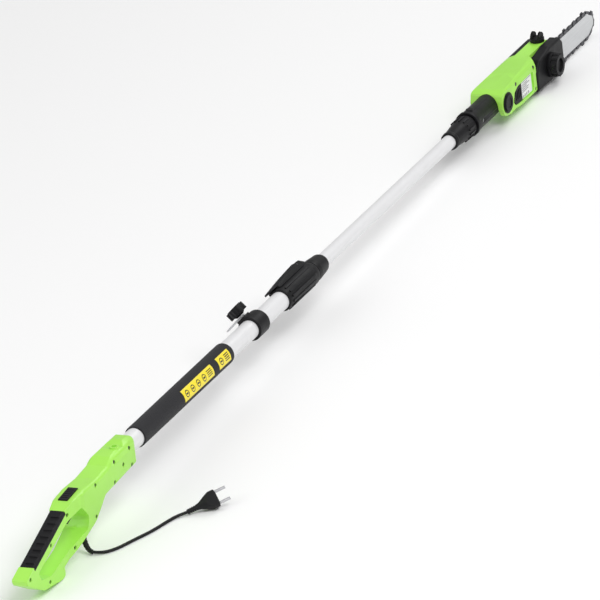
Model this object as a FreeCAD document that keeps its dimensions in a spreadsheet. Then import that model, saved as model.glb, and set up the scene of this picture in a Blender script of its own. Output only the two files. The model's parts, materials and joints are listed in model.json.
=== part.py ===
"""Corded telescoping pole saw, millimetres.

The pole frame has +X along the pole towards the saw, +Y to the user's left and +Z up, and starts where the
tube leaves the rear handle. Head parts are drawn in the head frame, which starts at the tilt pivot. At the
end every piece is laid down together, so that the handle loop and the head both rest on the floor.
"""
import FreeCAD, Part
import math
import os
import re
from types import SimpleNamespace

import Sketcher
from FreeCAD import Placement, Rotation, Vector

# ---------------------------------------------------------------- driving dimensions
DIMENSIONS = {
    # rear handle
    "neck_half_width": 21.0, "loop_half_width": 13.0,
    "grip_length": 129.0, "grip_half_width": 13.4, "grip_skin": 3.0, "grip_side_drop": 7.0,
    "grip_rib_length": 6.0, "grip_rib_height": 2.0,
    "trigger_width": 14.0, "button_width": 16.0, "pin_radius": 1.5,
    "screw_head_radius": 3.2, "screw_head_length": 2.4, "screw_shank_radius": 1.45,
    # pole
    "outer_tube_radius": 16.0, "inner_tube_radius": 12.0, "tube_wall": 1.5,
    "foam_radius": 18.5, "foam_length": 340.0, "label_thickness": 0.25,
    "collar_radius": 20.5, "collar_length": 36.0, "boss_size": 20.0,
    "strap_knob_radius": 17.0, "strap_knob_height": 14.0, "strap_bolt_radius": 3.0,
    "ring_wire_radius": 1.25, "ring_length": 44.0, "ring_half_width": 9.0,
    "lock_radius": 19.6, "lock_length": 116.0, "lock_rib_height": 1.8,
    "lever_width": 17.0, "cap_length": 44.0, "cap_end_radius": 16.6,
    "nut_length": 75.0, "nut_rear_radius": 15.5, "nut_front_radius": 19.0,
    "joint_radius": 20.5, "pivot_bolt_radius": 4.0, "lead_radius": 2.2, "lead_coil_radius": 6.0,
    # head
    "ear_half_width": 29.0, "yoke_half_gap": 20.8, "head_half_width": 31.0,
    "pivot_cap_radius": 17.0, "pivot_cap_height": 4.0,
    "stator_radius": 25.0, "stator_bore": 15.5, "armature_radius": 15.0, "core_length": 42.0,
    "motor_shaft_radius": 4.0, "fan_radius": 24.0,
    "sprocket_shaft_radius": 4.0, "sprocket_radius": 7.0, "wheel_turn_radius": 9.0,
    "oil_neck_radius": 9.0, "oil_cap_radius": 12.5, "oil_cap_height": 12.0,
    "cover_wall": 2.5, "cover_knob_radius": 21.5, "cover_knob_height": 17.0, "stud_radius": 3.0,
    # cutting set
    "bar_half_height": 19.2, "bar_thickness": 4.0, "bar_slot_depth": 6.0, "chain_gauge": 1.3,
    "link_pitch": 9.5, "link_height": 5.2, "link_plate": 1.1, "cutter_height": 2.8, "chain_rise": 3.5,
    # supply cord
    "cord_radius": 2.5, "plug_radius": 15.0, "plug_thickness": 22.0, "pin_length": 19.0,
    "plug_pin_radius": 2.4, "plug_pin_spacing": 19.0,
}
size = SimpleNamespace(**DIMENSIONS)

# places along the pole axis
OUTER_TUBE_REAR, OUTER_TUBE_FRONT = -80.0, 640.0
FOAM_REAR = 40.0
COLLAR_REAR = 479.0
BOSS_X, KNOB_Z, RING_Z, RING_LEAN = 11.0, 29.6, 24.5, -2.2
LABEL_FACING, LABEL_SPREAD = 158.0, math.radians(32)
LOCK_REAR = 599.0
CAP_REAR = LOCK_REAR + size.lock_length + 2.0
INNER_TUBE_REAR, INNER_TUBE_FRONT = 450.0, 1332.0
NUT_REAR = 1293.0
JOINT_REAR = NUT_REAR + size.nut_length
PIVOT_X = 1477.0
LEAD_REAR, LEAD_JOIN, LEAD_FRONT = -112.0, 480.0, 1240.0

# places in the head frame
GEAR_CASE_BOTTOM, HEAD_TOP = -33.0, 30.0
SPROCKET_X, BAR_Z, STUD_X = 144.0, -1.5, 181.0
BAR_PLANE_Y = -20.5
CASE_RIGHT, COVER_RIGHT = -14.5, -33.0
WINDOW_FLOOR = 28.0
BAR_REAR, BAR_NOSE = 159.0, 392.0
OIL_CAP_X = 205.0

RUNNING_FIT = 0.06

doc = FreeCAD.newDocument("PoleSaw")
sheet = doc.addObject("Spreadsheet::Sheet", "dims")
for row, (alias, value) in enumerate(DIMENSIONS.items(), start=1):
    sheet.set(f"A{row}", alias)
    sheet.set(f"B{row}", str(value))
    sheet.setAlias(f"B{row}", alias)
doc.recompute()

AXES = {"x": Rotation(Vector(0, 1, 0), 90), "y": Rotation(Vector(1, 0, 0), -90), "z": Rotation()}
ALIAS = re.compile(r"[a-z]+_[a-z_]+")


# ---------------------------------------------------------------- building blocks
def bind(thing, **sizes):
    """Ties each property to the spreadsheet: words in an expression are its aliases."""
    for name, expression in sizes.items():
        thing.setExpression(name, ALIAS.sub(r"dims.\g<0>", str(expression)))
    return thing


def cylinder(radius, length, at=(0, 0, 0), axis="x"):
    solid = bind(doc.addObject("Part::Cylinder", "cylinder"), Radius=radius, Height=length)
    solid.Placement = Placement(Vector(*at), AXES[axis])
    return solid


def cone(radius_from, radius_to, length, at=(0, 0, 0), axis="x"):
    solid = bind(doc.addObject("Part::Cone", "cone"), Radius1=radius_from, Radius2=radius_to, Height=length)
    solid.Placement = Placement(Vector(*at), AXES[axis])
    return solid


def box(length, width, height, at, centred=True):
    """A block from at, its low corner, or centred on at across Y."""
    solid = bind(doc.addObject("Part::Box", "box"), Length=length, Width=width, Height=height)
    doc.recompute([solid])
    shift = solid.Width.Value / 2 if centred else 0
    solid.Placement = Placement(Vector(at[0], at[1] - shift, at[2]), Rotation())
    return solid


def fuse(*pieces):
    joined = doc.addObject("Part::MultiFuse", "fuse")
    joined.Shapes = list(pieces)
    return joined


def cut(base, *tools):
    result = doc.addObject("Part::Cut", "cut")
    result.Base = base
    result.Tool = tools[0] if len(tools) == 1 else fuse(*tools)
    return result


def common(first, second):
    result = doc.addObject("Part::MultiCommon", "common")
    result.Shapes = [first, second]
    return result


def moved(solid, offset=(0, 0, 0), turn=Rotation()):
    solid.Placement = Placement(Vector(*offset), turn).multiply(solid.Placement)
    return solid


def rounded(solid, radius, chosen):
    """Fillets the edges that the test picks."""
    doc.recompute()
    edges = [number for number, edge in enumerate(solid.Shape.Edges, start=1) if chosen(edge)]
    result = doc.addObject("Part::Fillet", "fillet")
    result.Base = solid
    result.Edges = [(number, radius, radius) for number in edges]
    return result


def corner_arc(before, corner, after, radius):
    """The two tangent points and the middle point of an arc that rounds a corner in the sketch plane."""
    towards, away = (before - corner).normalize(), (after - corner).normalize()
    half = towards.getAngle(away) / 2
    reach = radius / math.tan(half)
    bisector = (towards + away).normalize()
    centre = corner + bisector * (radius / math.sin(half))
    return corner + towards * reach, centre - bisector * radius, corner + away * reach


def draw_loop(sketch, corners):
    """Adds a closed loop of (a, b, corner radius) points to a sketch."""
    points = [Vector(a, b, 0) for a, b, _ in corners]
    joints = []
    for place, (_, _, radius) in enumerate(corners):
        if radius:
            following = points[(place + 1) % len(points)]
            joints.append(corner_arc(points[place - 1], points[place], following, radius))
        else:
            joints.append((points[place],))
    for place, joint in enumerate(joints):
        if len(joint) == 3:
            sketch.addGeometry(Part.ArcOfCircle(*joint))
        following = joints[(place + 1) % len(joints)]
        if joint[-1].distanceToPoint(following[0]) > 1e-6:
            sketch.addGeometry(Part.LineSegment(joint[-1], following[0]))


def origin_plane(body, role):
    return next(feature for feature in body.Origin.OriginFeatures if feature.Role == role)


def sketched(role, loops):
    body = doc.addObject("PartDesign::Body", "body")
    sketch = body.newObject("Sketcher::SketchObject", "outline")
    sketch.AttachmentSupport = [(origin_plane(body, role), "")]
    sketch.MapMode = "FlatFace"
    for loop in loops:
        draw_loop(sketch, loop)
    return body, sketch


def slab(role, loops, thickness, offset=0.0, sides="both"):
    """Pads outlines drawn in an origin plane. In the XZ plane the pad grows towards -Y (right)."""
    body, sketch = sketched(role, loops)
    sketch.AttachmentOffset = Placement(Vector(0, 0, offset), Rotation())
    pad = body.newObject("PartDesign::Pad", "pad")
    pad.Profile = sketch
    bind(pad, Length=thickness)
    pad.Midplane = sides == "both"
    pad.Reversed = sides == "left"
    return body


def turned(loop):
    """Revolves an (x, radius) outline about the X axis."""
    body, sketch = sketched("XZ_Plane", [loop])
    revolution = body.newObject("PartDesign::Revolution", "turn")
    revolution.Profile = sketch
    revolution.ReferenceAxis = (origin_plane(body, "X_Axis"), [""])
    revolution.Angle = 360
    return body


def sharp(*points):
    return [(a, b, 0) for a, b in points]


def ring_of(make, count, first=0.0):
    """Copies of a piece turned about the X axis."""
    turns = [first + 360.0 * number / count for number in range(count)]
    return [moved(make(), turn=Rotation(Vector(1, 0, 0), turn)) for turn in turns]


NODES = []
POLE = Placement()
ROLL = Rotation(Vector(1, 0, 0), -45)
COLLAR = Placement(Vector(COLLAR_REAR, 0, 0), ROLL)
LOCK = Placement(Vector(LOCK_REAR, 0, 0), ROLL)
HEAD = Placement(Vector(PIVOT_X, 0, 0), Rotation())


def node(name, solid, frame=POLE):
    solid.Label = name
    NODES.append((solid, frame))
    return solid


# ---------------------------------------------------------------- rear handle
GRIP_START, GRIP_SLOPE = Vector(-229, 0, 7), 19.2
GRIP_TURN = Rotation(Vector(0, 1, 0), 180 - GRIP_SLOPE).multiply(Rotation(Vector(1, 0, 0), 180))
GRIP = Placement(GRIP_START, GRIP_TURN)
GRIP_REAR_START = 20.0
TRIGGER_PIN = (-206.0, -5.0)
RELIEF_X = -176.0
NARROWING_FRONT, NARROWING_REAR = -190.0, -250.0
OUTER_ROUNDING, NECK_CROWN = 7.0, 18.0

HANDLE_OUTLINE = [
    (0, 22.5, 3), (-22, 23.5, 5), (-36, 18.5, 5), (-56, 21.5, 8), (-80, 20, 8), (-98, 12, 10),
    (-140, 8.5, 30), (-187, 10.5, 20), (-228, 7, 10), (-399, -52.5, 4), (-395, -62, 8), (-344, -91.5, 14),
    (-281, -101.5, 8), (-269, -98.5, 5), (-270, -84.5, 4), (-160, -58, 30), (-137, -44, 20), (-117, -30, 15),
    (0, -24, 4),
]
LOOP_OPENING = [
    (-203, -12.5, 5), (-183, -36, 10), (-191, -53.5, 8), (-316, -79.5, 8), (-350, -72, 8), (-356, -57.5, 4),
    (-240, -18.5, 20),
]
SWITCH_BAY = sharp((-116, -20), (-116, 4), (-140, 3.6), (-192, 5), (-192, -14), (-176, -27), (-140, -27))
TRIGGER_SLOT = sharp((-196.5, 2), (-207, 3), (-225, -1), (-236, -8), (-238, -30), (-196.5, -24))
SHELL_SCREWS = [(-20, -19), (-84, -21.5), (-159, -47), (-241.8, -8.8), (-304.7, -32.6), (-232, -68.5),
                (-385, -55.5), (-322, -87)]
SHORT_SCREWS = [(-22, 10, 2.9), (-78, 10, 2.9), (-49, -6.4, 1.8), (-150, 2, 4.4)]


def handle_outer(sides):
    """One half of the handle block, narrowed from the neck to the loop."""
    block = slab("XZ_Plane", [HANDLE_OUTLINE, LOOP_OPENING], "neck_half_width", sides=sides)
    block = rounded(block, OUTER_ROUNDING, on_outer_face(size.neck_half_width))
    outward = -1 if sides == "right" else 1
    waste = sharp((NARROWING_FRONT, outward * (size.neck_half_width + 0.5)),
                  (NARROWING_REAR, outward * size.loop_half_width), (-430, outward * size.loop_half_width),
                  (-430, outward * 30), (NARROWING_FRONT, outward * 30))
    waste_block = moved(slab("XY_Plane", [waste], "200"), (0, 0, -30))
    neck = size.neck_half_width
    crown = [(-neck, -110, 0), (neck, -110, 0), (neck, 24, NECK_CROWN), (-neck, 24, NECK_CROWN)]
    narrowed = cut(block, waste_block)
    return common(narrowed, moved(slab("YZ_Plane", [crown], "900"), (-200, 0, 0)))


def on_outer_face(half_width):
    """Picks the edges of the side face, except those around the finger opening."""
    def chosen(edge):
        limits = edge.BoundBox
        flat = limits.YLength < 1e-6 and abs(abs(limits.YMin) - half_width) < 1e-6
        inside = limits.XMax < -182 and limits.XMin > -357 and limits.ZMax < -12 and limits.ZMin > -80
        return flat and not inside
    return chosen


def grip_envelope(margin):
    """The block that the soft grip fills, without the core that it wraps, in the grip frame."""
    outer = box(f"grip_length + {2 * margin}", "2 * grip_half_width + 10", f"grip_side_drop + 10 + {margin}",
                (GRIP_REAR_START - margin, 0, -size.grip_side_drop - margin))
    return cut(outer, grip_core(0.0))


def grip_core(shrink):
    return box("grip_length + 4", f"2 * (grip_half_width - grip_skin) - {2 * shrink}",
               "grip_side_drop + 10", (GRIP_REAR_START - 2, 0, -size.grip_skin - size.grip_side_drop - 10))


def in_grip_frame(solid):
    solid.Placement = GRIP.multiply(solid.Placement)
    return solid


def screw_hole(x, z, depth):
    """A countersunk hole in from the right side of the handle."""
    surface = -surface_half_width(x)
    recess = cylinder("screw_head_radius + 0.4", "20", (x, surface + 4.0 - 20, z), "y")
    shank = cylinder("screw_shank_radius", f"{depth}", (x, surface + 3.9, z), "y")
    return fuse(recess, shank)


def surface_half_width(x):
    """Half the width of the handle at x: full at the neck, narrower at the loop."""
    if x > NARROWING_FRONT:
        return size.neck_half_width
    if x < NARROWING_REAR:
        return size.loop_half_width
    share = (x - NARROWING_REAR) / (NARROWING_FRONT - NARROWING_REAR)
    return size.loop_half_width + share * (size.neck_half_width - size.loop_half_width)


def handle_tools():
    """Everything that is hollowed out of both halves of the handle."""
    bore = cylinder("outer_tube_radius", "110", (OUTER_TUBE_REAR, 0, 0))
    bay = slab("XZ_Plane", [SWITCH_BAY], "24.4")
    lead_way = cylinder("6", "60", (-136, 0, 0))
    slot = slab("XZ_Plane", [TRIGGER_SLOT], "trigger_width + 0.8")
    button_slot = box("41", "button_width + 0.6", "30", (-225.5, 0, 0.2))
    gland = cylinder("5.4", "40", (RELIEF_X, 0, -72), "z")
    pin = cylinder("pin_radius", "22.4", (TRIGGER_PIN[0], -11.2, TRIGGER_PIN[1]), "y")
    clamp = box("26.2", "24.2", "6.2", (RELIEF_X + 6.9, 0, -36.1))
    boss_recess = cylinder("4.4", "14", (-48, -8, 16.8), "z")
    return [bore, bay, lead_way, slot, button_slot, gland, pin, clamp, boss_recess,
            in_grip_frame(grip_envelope(0.0))]


def handle_shell(sides):
    outer = handle_outer(sides)
    if sides == "right":
        boss = cylinder("7.5", "14", (-48, -8, 10), "z")
        outer = fuse(outer, boss)
    tools = handle_tools()
    tools += [screw_hole(x, z, surface_half_width(x) + 5) for x, z in SHELL_SCREWS]
    if sides == "right":
        tools += [screw_hole(x, z, length + 0.2) for x, z, length in SHORT_SCREWS]
    return cut(outer, *tools)


def screw(x, z, shank):
    surface = -surface_half_width(x)
    head = cylinder("screw_head_radius", "screw_head_length", (x, surface + 1.5, z), "y")
    drive = box("1.2", "2", "4.4", (x - 0.6, surface + 1.9, z - 2.2))
    cross = box("4.4", "2", "1.2", (x - 2.2, surface + 1.9, z - 0.6))
    stem = cylinder("screw_shank_radius", f"{shank}", (x, surface + 3.9, z), "y")
    return fuse(cut(head, drive, cross), stem)


def handle_screws():
    pieces = [screw(x, z, surface_half_width(x) + 3) for x, z in SHELL_SCREWS]
    pieces += [screw(x, z, length) for x, z, length in SHORT_SCREWS]
    return fuse(*pieces)


def grip_overmould():
    """Soft skin over the top of the grip with cross ribs."""
    corner = (GRIP_REAR_START, 0, -size.grip_side_drop)
    outer = box("grip_length", "2 * grip_half_width", "grip_side_drop", corner)
    outer = rounded(outer, 5.0, lambda edge: edge.BoundBox.XLength > 50 and edge.BoundBox.ZMin > -1)
    ribs = []
    for number in range(8):
        x = GRIP_REAR_START + 10.0 + number * 15.0
        ribs.append(box("grip_rib_length", "15", "grip_rib_height + 2", (x, 3, -2)))
    return in_grip_frame(cut(fuse(outer, *ribs), grip_core(0.0)))


def trigger():
    outline = [(-199, -9, 1), (-203, -1, 3), (-222, -5, 3), (-232, -13, 2), (-233, -31, 3), (-216, -26, 10),
               (-200, -17, 3)]
    blade = slab("XZ_Plane", [outline], "trigger_width")
    blade = rounded(blade, 1.5, lambda edge: edge.BoundBox.YLength < 1e-6 and edge.BoundBox.ZMax < -14.0)
    bore = cylinder(f"pin_radius + {RUNNING_FIT}", "20", (TRIGGER_PIN[0], -10, TRIGGER_PIN[1]), "y")
    return cut(blade, bore)


def lock_off_button():
    outline = [(-225, 3.5, 0.5), (-225, 9.2, 1.5), (-185, 12.8, 1.5), (-185, 3.5, 0.5)]
    key = slab("XZ_Plane", [outline], "button_width")
    grooves = [box("1.6", "11", "4", (-219 + 6 * number, 0, 9.2 + 0.54 * number)) for number in range(5)]
    return cut(key, *grooves)


def switch_module():
    case = box("34", "22", "16", (-184, 0, -13))
    plunger = box("6", "6", "6", (-190, 0, -10))
    terminals = [box("8", "3", "1", (-150, y, -8)) for y in (-6, 6)]
    return fuse(case, plunger, *terminals)


def cord_clamp():
    bar = box("26", "24", "6", (RELIEF_X + 7, 0, -36))
    return cut(bar, cylinder("3.2", "60", (RELIEF_X - 5, 0, -38)))


# ---------------------------------------------------------------- telescoping pole
def tube(radius, rear, front):
    return cut(cylinder(radius, f"{front - rear}", (rear, 0, 0)),
               cylinder(f"{radius} - tube_wall", f"{front - rear + 2}", (rear - 1, 0, 0)))


def foam_sleeve():
    outer = cylinder("foam_radius", "foam_length", (FOAM_REAR, 0, 0))
    outer = rounded(outer, 2.0, lambda edge: edge.BoundBox.XLength < 1e-6)
    return cut(outer, cylinder("outer_tube_radius", "foam_length + 2", (FOAM_REAR - 1, 0, 0)))


def wrap_label(start, length, facing, spread):
    """A thin plate bent round the foam, centred on an angle from +Y about X."""
    shell = cut(cylinder("foam_radius + label_thickness", f"{length}", (start, 0, 0)),
                cylinder("foam_radius", f"{length + 2}", (start - 1, 0, 0)))
    window = slab("YZ_Plane", [sharp((0, 0), (60, -60 * math.tan(spread)), (60, 60 * math.tan(spread)))],
                  f"{length + 4}")
    moved(window, (start + length / 2, 0, 0), Rotation(Vector(1, 0, 0), facing))
    return common(shell, window)


def strap_collar():
    """Band round the tube with a tapped boss for the strap knob."""
    band = cylinder("collar_radius", "collar_length")
    band = rounded(band, 1.5, lambda edge: edge.BoundBox.XLength < 1e-6)
    boss = box("boss_size", "boss_size", "22.4", (1, 0, 0))
    boss = rounded(boss, 3.0, lambda edge: edge.BoundBox.ZLength > 20)
    seam = box("collar_length + 2", "1.6", "6", (-1, 0, -23))
    tap = cylinder(f"strap_bolt_radius + {RUNNING_FIT}", "40", (BOSS_X, 0, 10), "z")
    return cut(fuse(band, boss), cylinder("outer_tube_radius", "collar_length + 2", (-1, 0, 0)), seam, tap)


def strap_knob():
    """Star knob with six lobes."""
    lobe_reach = size.strap_knob_radius - 4.0
    hub = cylinder("strap_knob_radius - 3.5", "strap_knob_height", (0, 0, 0), "z")
    lobes = []
    for number in range(6):
        turn = math.radians(60 * number)
        at = (lobe_reach * math.cos(turn), lobe_reach * math.sin(turn), 0)
        lobes.append(cylinder("4", "strap_knob_height - 1", at, "z"))
    skirt = cone("7", "11", "3", (0, 0, -3), "z")
    dish = cone("6", "8", "2", (0, 0, size.strap_knob_height - 1.5), "z")
    bore = cylinder("strap_bolt_radius", "strap_knob_height", (0, 0, -4), "z")
    return moved(cut(fuse(hub, skirt, *lobes), dish, bore), (BOSS_X, 0, KNOB_Z))


def strap_bolt():
    return cylinder("strap_bolt_radius", "22", (BOSS_X, 0, 16.4), "z")


def strap_ring():
    """Flat wire loop caught on the bolt between boss and knob, hanging to the left of the tube."""
    reach = size.ring_half_width
    straight = size.ring_length - 2 * reach
    wire = "ring_wire_radius"
    sides = [cylinder(wire, f"{straight}", (x, 0, 0), "y") for x in (-reach, reach)]
    bends = []
    for y, start in ((0.0, 180), (straight, 0)):
        bend = doc.addObject("Part::Torus", "bend")
        bind(bend, Radius1="ring_half_width", Radius2=wire, Angle3="180")
        bend.Placement = Placement(Vector(0, y, 0), Rotation(Vector(0, 0, 1), start))
        bends.append(bend)
    loop = fuse(*sides, *bends)
    hang = Rotation(Vector(0, 0, 1), RING_LEAN)
    return moved(moved(loop, (0, 4.6, 0)), (BOSS_X, 0, RING_Z), hang)


# ---------------------------------------------------------------- telescoping lock
LEVER_PIN_X, LEVER_PIN_Z = 92.0, 24.5
LEVER_SWEEP = 8.9
SHOE_X = 70.0


LEVER_CHEEK = [(8, 14, 0), (8, 20.5, 2), (40, 23.5, 20), (84, 28.5, 6), (101, 27.8, 6), (112, 19, 3),
               (112, 14, 0)]


def lock_sleeve():
    """Ribbed sleeve clamped on the outer tube's end, with cheeks that carry the lever."""
    body = turned([(0, 16, 0), (0, 18.6, 0), (3, 19.6, 0), (size.lock_length - 3, size.lock_radius + 1, 0),
                   (size.lock_length, size.lock_radius, 0), (size.lock_length, 12.2, 0),
                   (OUTER_TUBE_FRONT - LOCK_REAR, 12.2, 0), (OUTER_TUBE_FRONT - LOCK_REAR, 16, 0)])
    ribs = ring_of(lambda: box("90", "3.2", "lock_rib_height + 4", (10, 0, size.lock_radius - 4)), 14, 40.0)
    cheeks = []
    for y in (-11.2, 11.2):
        plate = slab("XZ_Plane", [LEVER_CHEEK], "4.6")
        cheeks.append(moved(plate, (0, y, 0)))
    well = box("130", "lever_width + 0.6", "30", (-20, 0, 20.2))
    pocket = box("22.4", "12.4", "12", (SHOE_X - 11.2, 0, 10))
    bore = cylinder("12.2", "lock_length", (OUTER_TUBE_FRONT - LOCK_REAR, 0, 0))
    tube_bore = cylinder("outer_tube_radius", f"{OUTER_TUBE_FRONT - LOCK_REAR + 1}", (-1, 0, 0))
    pin = cylinder("pin_radius + 0.5", "40", (LEVER_PIN_X, -20, LEVER_PIN_Z), "y")
    above = box(f"{2 * LEVER_SWEEP}", "lever_width + 0.6", "20", (LEVER_PIN_X - LEVER_SWEEP, 0, LEVER_PIN_Z))
    beside = (LEVER_PIN_X, -size.lever_width / 2 - 0.3, LEVER_PIN_Z)
    round_pin = cylinder(f"{LEVER_SWEEP}", "lever_width + 0.6", beside, "y")
    return cut(fuse(body, *ribs, *cheeks), well, pocket, bore, tube_bore, pin, above, round_pin)


def clamp_lever():
    """Finger lever with a cam end that pushes the brake shoe in when it lies flat."""
    outline = [(-9, 20.6, 1), (-12, 23.6, 2), (10, 25.5, 10), (50, 28.4, 20), (86, 30, 4), (99.5, 27.6, 5),
               (99.5, 20.6, 3)]
    arm = slab("XZ_Plane", [outline], "lever_width")
    ridges = [box("2", "18", "1.4", (8 + 8 * number, 0, 24.5 + 0.6 * number)) for number in range(4)]
    bore = cylinder(f"pin_radius + 0.5 + {RUNNING_FIT}", "30", (LEVER_PIN_X, -15, LEVER_PIN_Z), "y")
    return cut(arm, bore, *ridges)


def lever_pin():
    return cylinder("pin_radius + 0.5", "26.5", (LEVER_PIN_X, -13.25, LEVER_PIN_Z), "y")


def brake_shoe():
    block = box("22", "12", "7.9", (SHOE_X - 11, 0, 12.1))
    return cut(block, cylinder("12.1", "40", (SHOE_X - 20, 0, 0)))


def lock_front_cap():
    """Smooth tapered front of the lock, with a narrow neck that leaves a groove behind it."""
    length = size.cap_length
    return turned([(-1.8, 12.2, 0), (-1.8, 17.6, 0), (0, 17.6, 0), (0, 19, 1), (10, 19.4, 8),
                   (length - 3, size.cap_end_radius, 2), (length - 3, 15.4, 0), (length, 15.2, 1),
                   (length, 12.2, 0)])


def tube_bush():
    """Plastic guide on the inner tube's rear end, running in the outer tube."""
    outer = size.outer_tube_radius - size.tube_wall - 0.1
    return turned(sharp((0, size.inner_tube_radius), (0, outer), (26, outer), (26, size.inner_tube_radius)))


def straight_lead():
    """Fixed part of the two-core lead; the coil on the moving tube slides over it."""
    return cylinder("lead_radius", f"{LEAD_JOIN - LEAD_REAR}", (LEAD_REAR, 0, 0))


def coiled_lead():
    """Stretching part of the lead, wound in a helix inside the inner tube."""
    turns, steps = 28, 8
    points = []
    for step in range(turns * steps + 1):
        share = step / (turns * steps)
        angle = 2 * math.pi * turns * share
        across = size.lead_coil_radius * math.cos(angle)
        points.append(Vector(LEAD_JOIN + 6 + share * (LEAD_FRONT - LEAD_JOIN - 6), across,
                             size.lead_coil_radius * math.sin(angle)))
    curve = Part.BSplineCurve()
    curve.interpolate(points)
    heading = curve.tangent(curve.FirstParameter)[0]
    section = Part.Wire([Part.makeCircle(size.lead_radius, points[0], heading)])
    lead = doc.addObject("Part::Feature", "lead")
    lead.Shape = Part.Wire([curve.toShape()]).makePipeShell([section], True, True)
    return lead


# ---------------------------------------------------------------- coupling and tilt joint
def coupling_nut():
    length, rear, front = size.nut_length, size.nut_rear_radius, size.nut_front_radius
    body = turned([(0, 12.2, 0), (0, rear, 1), (6, rear + 0.6, 1), (9, rear - 0.4, 1), (30, rear + 1.4, 10),
                   (46, front - 0.6, 8), (length - 4, front, 1), (length, front - 1, 0), (length, 17.2, 0),
                   (38, 17.2, 0), (36, 12.2, 0)])
    ribs = ring_of(lambda: box("22", "2.6", "2.8", (46, 0, front - 1.4)), 14)
    return fuse(body, *ribs)


def joint_body():
    """Socket for the inner tube that ends in the round knuckle of the tilt joint."""
    barrel = cylinder("joint_radius", f"{PIVOT_X - JOINT_REAR - 1.5}", (JOINT_REAR + 1.5, 0, 0))
    flange = cylinder("joint_radius + 1.8", "9", (JOINT_REAR + 1.5, 0, 0))
    flange = rounded(flange, 1.2, lambda edge: edge.BoundBox.XLength < 1e-6)
    knuckle = common(cylinder("joint_radius", f"{PIVOT_X - JOINT_REAR + 30}", (JOINT_REAR + 5, 0, 0)),
                     cylinder("joint_radius", "2 * joint_radius", (PIVOT_X, -size.joint_radius, 0), "y"))
    nose = cylinder("17", "34", (JOINT_REAR - 32, 0, 0))
    button = cylinder("6", "6", (JOINT_REAR + 17, 0, 17), "z")
    socket = cylinder("inner_tube_radius", "62", (INNER_TUBE_FRONT - 60, 0, 0))
    lead_way = cylinder("5", "160", (INNER_TUBE_FRONT - 10, 0, 0))
    bolt = cylinder("pivot_bolt_radius", "60", (PIVOT_X, -30, 0), "y")
    locker = cylinder("10.2", "16", (PIVOT_X, -size.joint_radius - 1, 0), "y")
    fixing = cylinder("screw_head_radius + 0.3", "6", (JOINT_REAR + 26, -size.joint_radius - 2, 0), "y")
    faces = [box("60", "2", "60", (PIVOT_X - 25, y, -30)) for y in (-21.4, 21.4)]
    return cut(fuse(barrel, flange, knuckle, nose, button), socket, lead_way, bolt, locker, fixing, *faces)


def joint_screw():
    at = (JOINT_REAR + 26, -size.joint_radius + 1.2, 0)
    drive = box("1.2", "2", "4.4", (at[0] - 0.6, at[1] + 0.2, -2.2))
    return cut(cylinder("screw_head_radius", "screw_head_length", at, "y"), drive)


def pivot_bolt():
    """Steel bolt through knuckle and ears, in the head frame."""
    return cylinder("pivot_bolt_radius", "35.4", (0, -7.5, 0), "y")


def pivot_button():
    """Round release button in the right ear; a splined plug behind it locks the tilt."""
    reach = size.ear_half_width
    front = -reach - size.pivot_cap_height
    disc = cylinder("pivot_cap_radius - 1.3", "pivot_cap_height + 3", (0, front, 0), "y")
    disc = rounded(disc, 1.5, lambda edge: edge.BoundBox.YMax < front + 0.1)
    plug = cylinder("9.9", "16", (0, -reach + 2, 0), "y")
    dish = cylinder("9", "1", (0, front - 0.01, 0), "y")
    return cut(fuse(disc, plug), dish)


def pivot_ring():
    """Fixed collar round the release button."""
    reach = size.ear_half_width
    ring = cylinder("pivot_cap_radius + 1", "2.6", (0, -reach - 1.6, 0), "y")
    return cut(ring, cylinder("pivot_cap_radius - 1", "10", (0, -reach - 5, 0), "y"))


def pivot_cap():
    reach = size.ear_half_width
    cap = cylinder("pivot_cap_radius", "pivot_cap_height + 1", (0, reach - 1, 0), "y")
    return rounded(cap, 1.5, lambda edge: edge.BoundBox.YMin > reach + 2)


# ---------------------------------------------------------------- motor head
HEAD_SIDE = [
    (-20, 20, 6), (-6, 25, 14), (64, 28, 60), (121, 30, 20), (217, 30, 3), (217, 23.5, 2),
    (131, 23.5, 6), (119, 6, 4), (119, -28.5, 3), (64, -27, 40), (32, -22, 20), (10, -24, 12),
    (-14, -20, 12), (-23, -4, 12), (-23, 8, 10),
]


def head_top_outline():
    """Plan view of the head: narrow ears, full width at the motor, a narrow strip over the gear case."""
    ear, wide, strip = size.ear_half_width, size.head_half_width, 13.0
    right = [(-30, -ear, 0), (18, -ear, 20), (60, -wide, 30), (119.5, -wide, 0), (121, -wide, 0),
             (137, -strip, 6), (218, -strip, 0)]
    left = [(x, -y, radius) for x, y, radius in reversed(right)]
    return right + left


def head_block():
    side = slab("XZ_Plane", [HEAD_SIDE], "2 * head_half_width + 4")
    plan = slab("XY_Plane", [head_top_outline()], "120")
    wide = size.head_half_width
    across = [(-wide, -28.5, 8), (wide, -28.5, 8), (wide, 30, 16), (-wide, 30, 16)]
    section = slab("YZ_Plane", [across], "600")
    return common(common(side, plan), section)


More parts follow.
